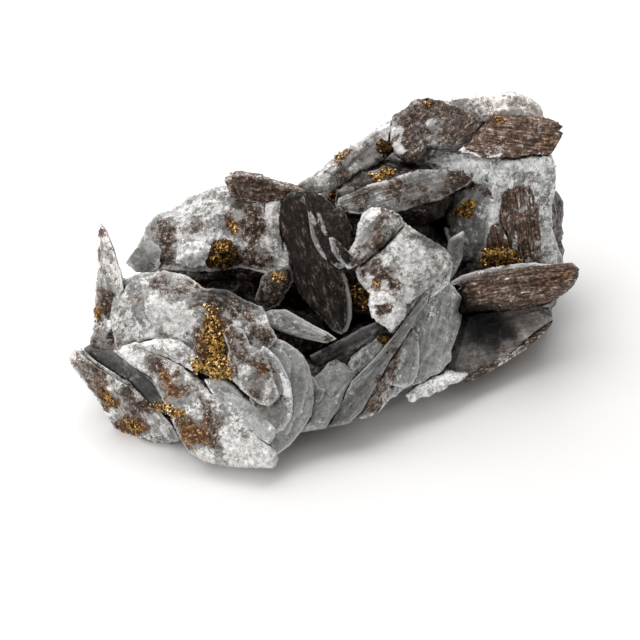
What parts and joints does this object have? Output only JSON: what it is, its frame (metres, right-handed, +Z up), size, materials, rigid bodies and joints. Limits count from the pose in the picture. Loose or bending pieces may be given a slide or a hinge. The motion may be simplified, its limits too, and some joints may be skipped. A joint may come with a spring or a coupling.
{
  "type": "calcite cluster",
  "caption": "Hand-sized mineral specimen: bladed calcite crystals grown together in one frosty mass, with small round sulphide grains and crusts. Stands on its flat broken base.",
  "frame": {"origin": "on the flat underside, near the middle of the cluster's length", "axes": "+Z up from the surface it stands on; +X along the cluster's length, towards the tall block at one end; +Y towards its hidden side"},
  "size_m": [0.1308, 0.0655, 0.0562],
  "materials": {
    "calcite": "frosted grey-white calcite with brown inclusions",
    "sulphide": "dark bronze-gold sulphide, finely sparkling; brass stands in for its metallic look"
  },
  "bodies": {
    "root": {"calcite": "calcite", "crust_block": "sulphide", "crust_front": "sulphide", "crust_rosette": "sulphide", "crust_wall": "sulphide", "grain_foot": "sulphide", "grain_gap": "sulphide", "grain_mound": "sulphide", "grain_plate": "sulphide", "grain_recess": "sulphide", "grain_shelf": "sulphide"}
  },
  "joints": []
}
